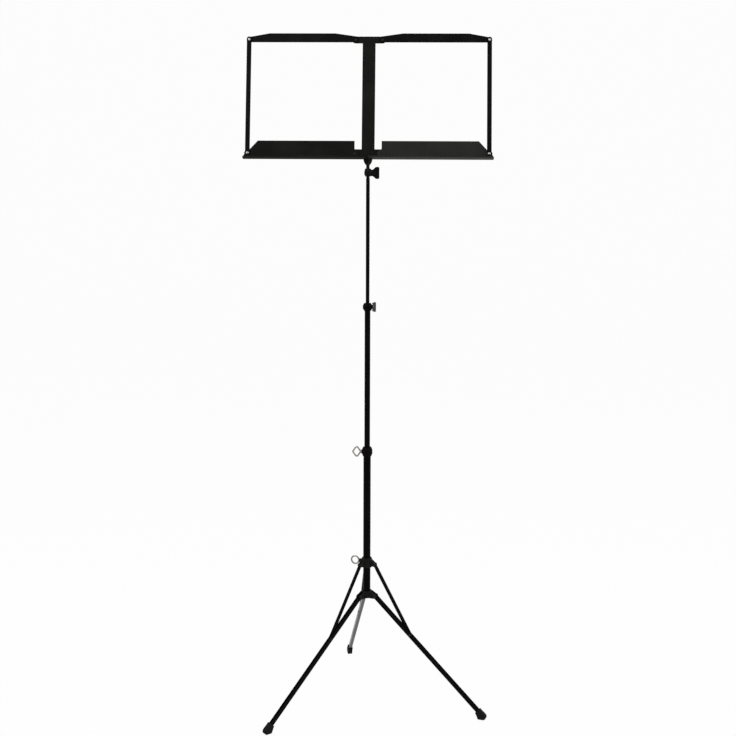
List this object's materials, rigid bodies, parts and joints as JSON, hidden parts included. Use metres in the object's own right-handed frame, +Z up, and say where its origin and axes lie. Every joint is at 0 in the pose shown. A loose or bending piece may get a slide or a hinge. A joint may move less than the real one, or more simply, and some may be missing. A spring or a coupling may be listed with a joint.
{
  "type": "music stand",
  "caption": "Folding sheet-music stand: tilting desk with folding wings on a telescopic mast over a folding channel-leg tripod with struts.",
  "frame": {"origin": "on the floor, at the middle of the outline seen from above", "axes": "+X along the desk to the reader's right, -Y towards the reader, +Z up"},
  "size_m": [0.4667, 0.409, 1.2971],
  "materials": {
    "tube_enamel": "semi-gloss black enamel on steel tube",
    "leg_enamel": "semi-gloss black enamel on folded steel",
    "desk_enamel": "satin black enamel on steel sheet",
    "cast_block": "black painted casting",
    "hub_plastic": "moulded black plastic",
    "collar_plastic": "moulded black plastic",
    "knob_plastic": "moulded black plastic",
    "bush_plastic": "moulded dark grey plastic",
    "foot_rubber": "moulded black rubber",
    "nickel_wire": "nickel-plated steel wire",
    "bright_rivet": "bright zinc-plated steel",
    "black_rivet": "black painted steel rivet",
    "brass_insert": "turned brass"
  },
  "bodies": {
    "base": {"lower_tube": "tube_enamel", "leg_hub": "hub_plastic", "hub_rivet": "black_rivet", "leg_pivot_pins": "black_rivet", "lower_collar": "collar_plastic", "lower_collar_insert": "brass_insert"},
    "lower_screw": {"lower_collar_screw": "nickel_wire"},
    "hub_carriage": {"slide_hub": "hub_plastic", "slide_hub_insert": "brass_insert", "strut_head_rivets": "black_rivet"},
    "hub_screw": {"ring_screw": "nickel_wire"},
    "middle_bush": {"middle_tube_bush": "bush_plastic"},
    "middle_mast": {"middle_tube": "tube_enamel", "upper_collar": "collar_plastic", "upper_collar_insert": "brass_insert"},
    "upper_screw": {"upper_collar_screw": "bright_rivet", "upper_collar_knob": "knob_plastic"},
    "upper_bush": {"rod_bush": "bush_plastic"},
    "rod": {"top_rod": "tube_enamel"},
    "desk": {"desk_spine": "desk_enamel", "tilt_block": "cast_block", "tilt_bolt": "black_rivet", "neck_rivet": "black_rivet", "spine_rivets": "black_rivet"},
    "tilt_clamp": {"tilt_knob": "knob_plastic", "tilt_nut": "brass_insert"},
    "right_leg": {"leg_right": "leg_enamel", "foot_right": "foot_rubber", "strut_rivet_right": "black_rivet"},
    "right_strut": {"strut_right": "leg_enamel"},
    "rear_leg": {"leg_rear": "leg_enamel", "foot_rear": "foot_rubber", "strut_rivet_rear": "black_rivet"},
    "rear_strut": {"strut_rear": "leg_enamel"},
    "left_leg": {"leg_left": "leg_enamel", "foot_left": "foot_rubber", "strut_rivet_left": "black_rivet"},
    "left_strut": {"strut_left": "leg_enamel"},
    "right_ledge": {"right_ledge": "desk_enamel", "right_ledge_rivet": "bright_rivet"},
    "right_side_bar": {"right_side_bar": "desk_enamel", "right_side_bar_rivet": "bright_rivet"},
    "right_upper_arm": {"right_upper_arm": "desk_enamel"},
    "left_ledge": {"left_ledge": "desk_enamel", "left_ledge_rivet": "bright_rivet"},
    "left_side_bar": {"left_side_bar": "desk_enamel", "left_side_bar_rivet": "bright_rivet"},
    "left_upper_arm": {"left_upper_arm": "desk_enamel"}
  },
  "joints": [
    {"name": "hub_slide", "type": "slide", "parent": "base", "child": "hub_carriage", "axis": [0, 0, 1], "range_m": [0, 0.18962]},
    {"name": "right_leg_fold", "type": "hinge", "parent": "base", "child": "right_leg", "pos_m": [0.01678, -0.04611, 0.22037], "axis": [-0.3338, -0.9426, 0], "range_deg": [0, 131.7]},
    {"name": "right_strut_swing", "type": "hinge", "parent": "right_leg", "child": "right_strut", "pos_m": [0.08613, -0.07067, 0.15117], "axis": [-0.3338, -0.9426, 0], "range_deg": [-159.47, 0]},
    {"name": "rear_leg_fold", "type": "hinge", "parent": "base", "child": "rear_leg", "pos_m": [-0.00324, -0.02267, 0.22037], "axis": [0.9833, 0.1822, 0], "range_deg": [0, 131.7]},
    {"name": "rear_strut_swing", "type": "hinge", "parent": "rear_leg", "child": "rear_strut", "pos_m": [-0.01665, 0.04967, 0.15117], "axis": [0.9833, 0.1822, 0], "range_deg": [-159.47, 0]},
    {"name": "left_leg_fold", "type": "hinge", "parent": "base", "child": "left_leg", "pos_m": [-0.01354, -0.05173, 0.22037], "axis": [-0.6494, 0.7604, 0], "range_deg": [0, 131.7]},
    {"name": "left_strut_swing", "type": "hinge", "parent": "left_leg", "child": "left_strut", "pos_m": [-0.06948, -0.09951, 0.15117], "axis": [-0.6494, 0.7604, 0], "range_deg": [-159.47, 0]},
    {"name": "hub_screw_turn", "type": "hinge", "parent": "hub_carriage", "child": "hub_screw", "pos_m": [-0.01452, -0.03503, 0.28977], "axis": [-0.9426, 0.3338, 0], "range_deg": [0, 450]},
    {"name": "lower_screw_turn", "type": "hinge", "parent": "base", "child": "lower_screw", "pos_m": [-0.0109, -0.04017, 0.51097], "axis": [-1, 0, 0], "range_deg": [0, 450]},
    {"name": "middle_slide", "type": "slide", "parent": "base", "child": "middle_bush", "axis": [0, 0, 1], "range_m": [-0.235, 0]},
    {"name": "middle_swivel", "type": "hinge", "parent": "middle_bush", "child": "middle_mast", "pos_m": [0, -0.04017, 0.47297], "axis": [0, 0, 1], "continuous": true},
    {"name": "upper_screw_turn", "type": "hinge", "parent": "middle_mast", "child": "upper_screw", "pos_m": [0.0097, -0.04017, 0.79197], "axis": [1, 0, 0], "range_deg": [0, 450]},
    {"name": "rod_slide", "type": "slide", "parent": "middle_mast", "child": "upper_bush", "axis": [0, 0, 1], "range_m": [-0.22, 0]},
    {"name": "rod_swivel", "type": "hinge", "parent": "upper_bush", "child": "rod", "pos_m": [0, -0.04017, 0.75027], "axis": [0, 0, 1], "continuous": true},
    {"name": "desk_tilt", "type": "hinge", "parent": "rod", "child": "desk", "pos_m": [0, -0.04017, 1.04257], "axis": [-1, 0, 0], "range_deg": [-20, 70]},
    {"name": "tilt_knob_turn", "type": "hinge", "parent": "desk", "child": "tilt_clamp", "pos_m": [0, -0.04017, 1.04257], "axis": [1, 0, 0], "range_deg": [0, 450]},
    {"name": "right_wing_fold", "type": "hinge", "parent": "desk", "child": "right_ledge", "pos_m": [0.025, -0.03928, 1.07795], "axis": [0, -0.9659, 0.2588], "range_deg": [0, 90]},
    {"name": "right_bar_swing", "type": "hinge", "parent": "right_ledge", "child": "right_side_bar", "pos_m": [0.2235, -0.03928, 1.07795], "axis": [0, -0.9659, 0.2588], "range_deg": [-90, 0]},
    {"name": "right_arm_fold", "type": "hinge", "parent": "desk", "child": "right_upper_arm", "pos_m": [0.025, 0.01626, 1.28524], "axis": [0, -0.9659, 0.2588], "range_deg": [0, 90]},
    {"name": "left_wing_fold", "type": "hinge", "parent": "desk", "child": "left_ledge", "pos_m": [-0.025, -0.03928, 1.07795], "axis": [0, 0.9659, -0.2588], "range_deg": [0, 90]},
    {"name": "left_bar_swing", "type": "hinge", "parent": "left_ledge", "child": "left_side_bar", "pos_m": [-0.2235, -0.03928, 1.07795], "axis": [0, 0.9659, -0.2588], "range_deg": [-90, 0]},
    {"name": "left_arm_fold", "type": "hinge", "parent": "desk", "child": "left_upper_arm", "pos_m": [-0.025, 0.01626, 1.28524], "axis": [0, 0.9659, -0.2588], "range_deg": [0, 90]}
  ],
  "couplings": [
    {"joint": "right_leg_fold", "follows": "hub_slide", "rad_per_m": 12.122},
    {"joint": "right_strut_swing", "follows": "hub_slide", "rad_per_m": -14.678},
    {"joint": "rear_leg_fold", "follows": "hub_slide", "rad_per_m": 12.122},
    {"joint": "rear_strut_swing", "follows": "hub_slide", "rad_per_m": -14.678},
    {"joint": "left_leg_fold", "follows": "hub_slide", "rad_per_m": 12.122},
    {"joint": "left_strut_swing", "follows": "hub_slide", "rad_per_m": -14.678},
    {"joint": "right_bar_swing", "follows": "right_wing_fold", "ratio": -1},
    {"joint": "right_arm_fold", "follows": "right_wing_fold", "ratio": 1},
    {"joint": "left_bar_swing", "follows": "left_wing_fold", "ratio": -1},
    {"joint": "left_arm_fold", "follows": "left_wing_fold", "ratio": 1}
  ]
}
